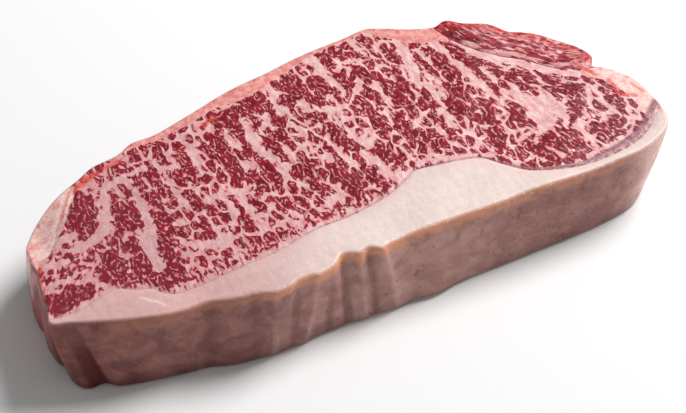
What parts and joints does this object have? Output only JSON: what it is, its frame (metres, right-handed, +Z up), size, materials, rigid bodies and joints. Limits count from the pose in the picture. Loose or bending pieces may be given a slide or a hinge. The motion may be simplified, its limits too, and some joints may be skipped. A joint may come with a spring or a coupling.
{
  "type": "raw sirloin steak",
  "caption": "Raw marbled sirloin steak lying flat: a thick slab with a fat cap along its front edge and a small side muscle at the back of its broad end.",
  "frame": {"origin": "centre of the footprint, on the surface the steak lies on", "axes": "+X along the steak from its narrow tail to its broad end, +Y from the fat cap to the back edge, +Z up, square to the cut faces"},
  "size_m": [0.25, 0.123, 0.0314],
  "materials": {
    "marbled_lean": "moist raw beef, crimson, finely marbled with pale fat",
    "outer_fat": "firm cream to pink beef fat, satin",
    "chain_lean": "moist raw beef, bright red, with pale streaks along it"
  },
  "bodies": {
    "root": {"loin_eye": "marbled_lean", "fat_cap": "outer_fat", "side_chain": "chain_lean"}
  },
  "joints": []
}
